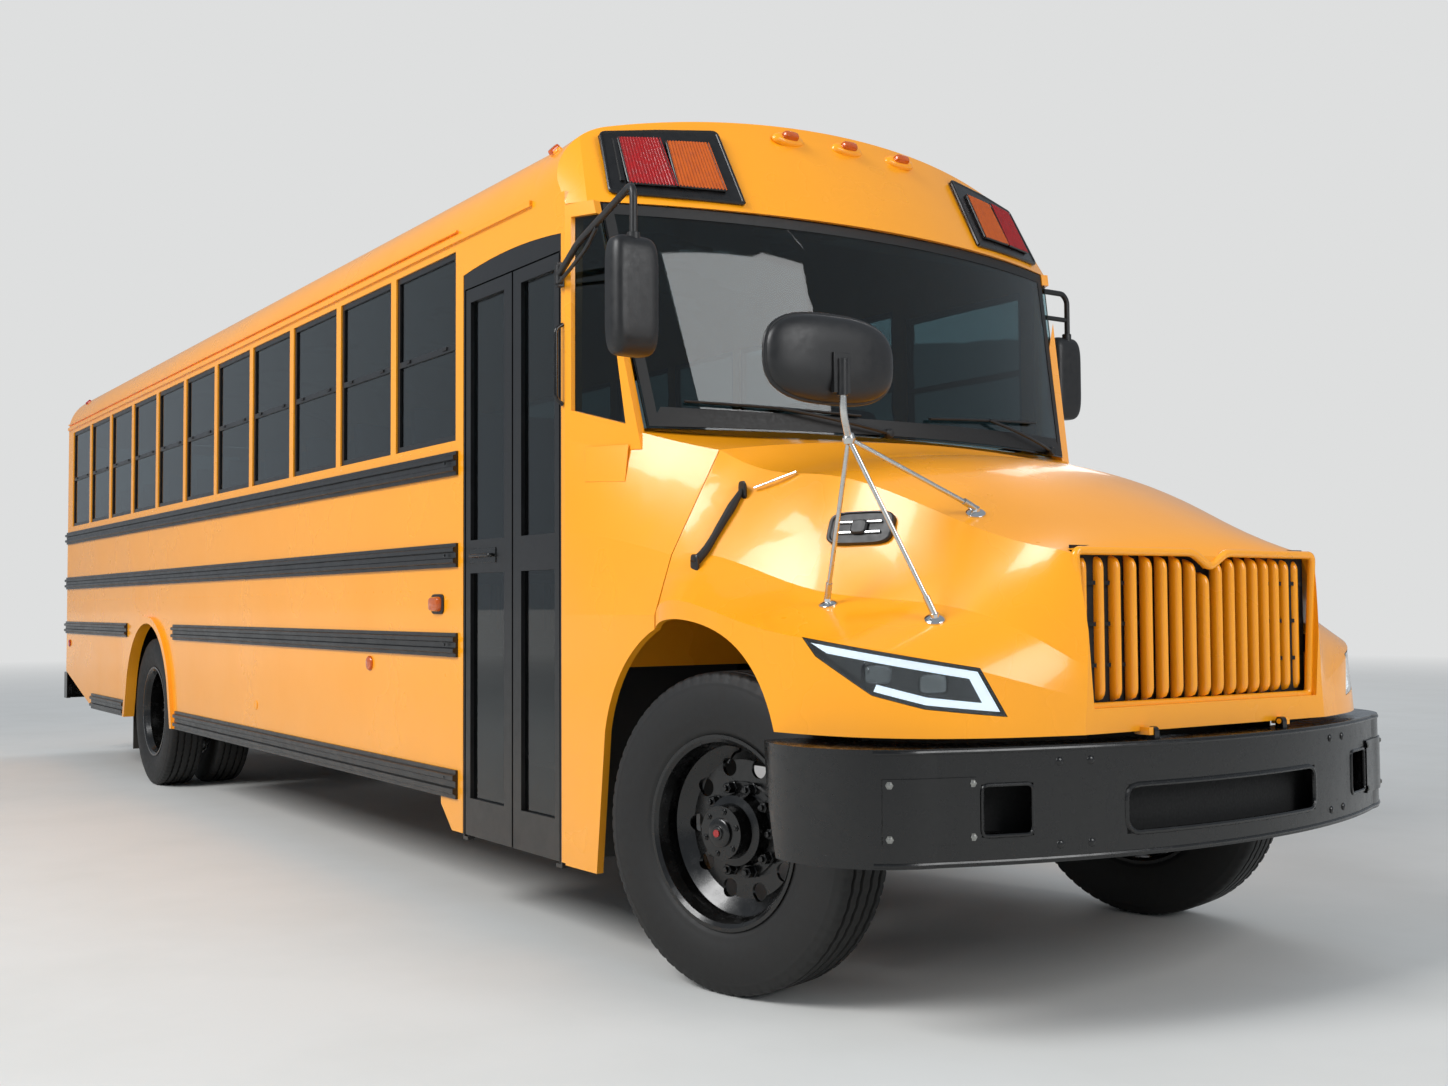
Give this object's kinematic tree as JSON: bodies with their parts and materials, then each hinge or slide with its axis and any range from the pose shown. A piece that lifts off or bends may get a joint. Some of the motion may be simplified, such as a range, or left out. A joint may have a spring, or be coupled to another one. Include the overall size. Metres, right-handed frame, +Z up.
{
  "type": "school bus",
  "caption": "Bonneted school bus with a tilting hood, split entrance door, rear emergency door, steered front axle and twin rear wheels.",
  "frame": {"origin": "on the ground under the middle of the bus", "axes": "+X forward, +Y to the driver's side, +Z up"},
  "size_m": [11.0798, 2.97, 3.16],
  "materials": {
    "yellow_paint": "gloss enamel",
    "black_paint": "satin black enamel",
    "black_steel": "gloss black powder coat",
    "chassis_black": "dull chassis black",
    "tinted_glass": "tinted",
    "clear_glass": "clear",
    "tyre": "moulded",
    "black_plastic": "grained",
    "grey_plastic": "grained",
    "lamp_lens": "moulded lens",
    "headlamp": "clear lens",
    "seat_vinyl": "coated fabric",
    "rubber": "moulded",
    "red_paint": "enamel",
    "floor_cover": "ribbed"
  },
  "bodies": {
    "root": {"side_right": "yellow_paint", "side_left": "yellow_paint", "rear_wall": "yellow_paint", "roof": "yellow_paint", "front_cap": "yellow_paint", "cowl": "yellow_paint", "window_sashes": "black_paint", "body_glass": "tinted_glass", "windshield": "tinted_glass", "door_frame": "black_paint", "rub_rails": "black_paint", "floor": "floor_cover", "wheel_housings": "black_paint", "steps": "floor_cover", "frame_rails": "chassis_black", "front_axle": "chassis_black", "rear_axle": "chassis_black", "leaf_springs": "chassis_black", "engine": "chassis_black", "radiator": "chassis_black", "driveline": "chassis_black", "fuel_tank": "chassis_black", "exhaust": "chassis_black", "front_bumper": "black_steel", "rear_bumper": "black_steel", "bench_cushions": "seat_vinyl", "bench_backs": "seat_vinyl", "bench_legs": "black_paint", "driver_seat": "seat_vinyl", "dashboard": "grey_plastic", "warning_lamps": "lamp_lens", "mud_flaps": "rubber", "mirrors": "black_plastic"},
    "hood": {"hood": "yellow_paint", "grille": "yellow_paint", "headlights": "headlamp", "cross_mirror": "black_plastic"},
    "door_rear": {"door_leaf_rear": "black_paint", "door_glass_rear": "tinted_glass"},
    "door_front": {"door_leaf_front": "black_paint", "door_glass_front": "tinted_glass"},
    "emergency_door": {"rear_door": "yellow_paint", "rear_door_glass": "tinted_glass"},
    "stop_arm": {"stop_arm": "red_paint"},
    "knuckle_right": {"knuckle_right": "chassis_black"},
    "knuckle_left": {"knuckle_left": "chassis_black"},
    "wheel_front_right": {"tyre_front_right": "tyre", "rim_front_right": "black_steel"},
    "wheel_front_left": {"tyre_front_left": "tyre", "rim_front_left": "black_steel"},
    "wheels_rear_right": {"tyres_rear_right": "tyre", "rims_rear_right": "black_steel"},
    "wheels_rear_left": {"tyres_rear_left": "tyre", "rims_rear_left": "black_steel"}
  },
  "joints": [
    {"name": "hood_tilt", "type": "hinge", "parent": "root", "child": "hood", "pos_m": [5.484, 0, 0.858], "axis": [0, 1, 0], "range_deg": [0, 70]},
    {"name": "door_rear_swing", "type": "hinge", "parent": "root", "child": "door_rear", "pos_m": [2.739, -1.204, 1], "axis": [0, 0, -1], "range_deg": [0, 85]},
    {"name": "door_front_swing", "type": "hinge", "parent": "root", "child": "door_front", "pos_m": [3.527, -1.204, 1], "axis": [0, 0, 1], "range_deg": [0, 85]},
    {"name": "emergency_door_swing", "type": "hinge", "parent": "root", "child": "emergency_door", "pos_m": [-5.426, -0.327, 1.8], "axis": [0, 0, 1], "range_deg": [0, 95]},
    {"name": "stop_arm_swing", "type": "hinge", "parent": "root", "child": "stop_arm", "pos_m": [2.48, 1.257, 1.62], "axis": [0, 0, -1], "range_deg": [0, 90]},
    {"name": "steer_right", "type": "hinge", "parent": "root", "child": "knuckle_right", "pos_m": [4.38, -0.86, 0.51], "axis": [0, 0, 1], "range_deg": [-49.2, 22.8]},
    {"name": "steer_left", "type": "hinge", "parent": "root", "child": "knuckle_left", "pos_m": [4.38, 0.86, 0.51], "axis": [0, 0, 1], "range_deg": [-49.2, 22.8]},
    {"name": "spin_front_right", "type": "hinge", "parent": "knuckle_right", "child": "wheel_front_right", "pos_m": [4.38, -0.86, 0.51], "axis": [-0.2284, 0.9736, 0], "continuous": true},
    {"name": "spin_front_left", "type": "hinge", "parent": "knuckle_left", "child": "wheel_front_left", "pos_m": [4.38, 0.86, 0.51], "axis": [-0.2284, 0.9736, 0], "continuous": true},
    {"name": "spin_rear_right", "type": "hinge", "parent": "root", "child": "wheels_rear_right", "pos_m": [-2.58, 0, 0.51], "axis": [0, 1, 0], "continuous": true},
    {"name": "spin_rear_left", "type": "hinge", "parent": "root", "child": "wheels_rear_left", "pos_m": [-2.58, 0, 0.51], "axis": [0, 1, 0], "continuous": true}
  ],
  "couplings": [
    {"joint": "door_front_swing", "follows": "door_rear_swing", "ratio": 1},
    {"joint": "steer_left", "follows": "steer_right", "ratio": 1}
  ]
}
